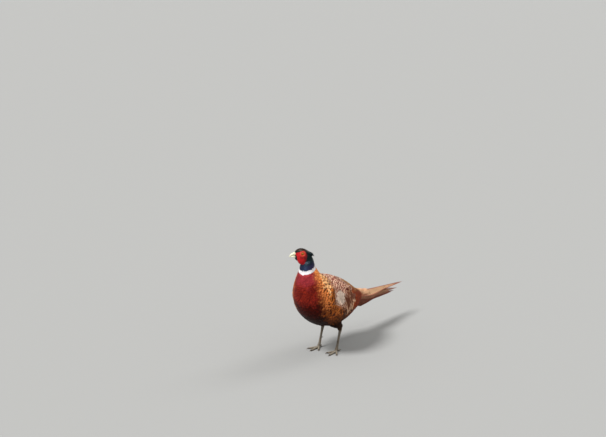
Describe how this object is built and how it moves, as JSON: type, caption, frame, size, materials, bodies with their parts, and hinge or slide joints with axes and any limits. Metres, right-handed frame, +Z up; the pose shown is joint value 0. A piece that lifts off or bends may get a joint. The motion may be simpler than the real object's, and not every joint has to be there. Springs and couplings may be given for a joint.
{
  "type": "common pheasant cock",
  "caption": "Life-size standing cock pheasant with its head turned to the side, a long pointed tail, folded wings and bare legs.",
  "frame": {"origin": "under the middle of the bird's box, on the ground it stands on", "axes": "+Z up; the bird faces -Y, its left side is +X and its tail points to +Y"},
  "size_m": [0.1794, 0.7504, 0.3981],
  "materials": {
    "body_feathers": "copper red plumage with a silky sheen",
    "neck_feathers": "glossy dark green and blue plumage",
    "wing_feathers": "soft barred plumage",
    "tail_feathers": "smooth barred plumage",
    "wattle_skin": "bare red skin",
    "bill_horn": "smooth pale horn",
    "eye": "wet and shiny",
    "claw_horn": "smooth dark horn",
    "leg_scales": "dry grey-brown scales"
  },
  "bodies": {
    "root": {"trunk": "body_feathers", "neck": "neck_feathers", "head": "neck_feathers", "bill_upper": "bill_horn", "bill_lower": "bill_horn", "eye_left": "eye", "eye_right": "eye", "wattle_left": "wattle_skin", "wattle_right": "wattle_skin", "ear_tuft_left": "neck_feathers", "ear_tuft_right": "neck_feathers", "wing_left": "wing_feathers", "wing_right": "wing_feathers", "wing_tip_left": "wing_feathers", "wing_tip_right": "wing_feathers", "tail_centre_left": "tail_feathers", "tail_centre_right": "tail_feathers", "tail_side_left": "tail_feathers", "tail_side_right": "tail_feathers", "thigh_left": "body_feathers", "thigh_right": "body_feathers", "shank_left": "leg_scales", "shank_right": "leg_scales", "spur_left": "claw_horn", "spur_right": "claw_horn", "toe_inner_left": "leg_scales", "claw_inner_left": "claw_horn", "toe_middle_left": "leg_scales", "claw_middle_left": "claw_horn", "toe_outer_left": "leg_scales", "claw_outer_left": "claw_horn", "toe_hind_left": "leg_scales", "claw_hind_left": "claw_horn", "toe_inner_right": "leg_scales", "claw_inner_right": "claw_horn", "toe_middle_right": "leg_scales", "claw_middle_right": "claw_horn", "toe_outer_right": "leg_scales", "claw_outer_right": "claw_horn", "toe_hind_right": "leg_scales", "claw_hind_right": "claw_horn"}
  },
  "joints": []
}
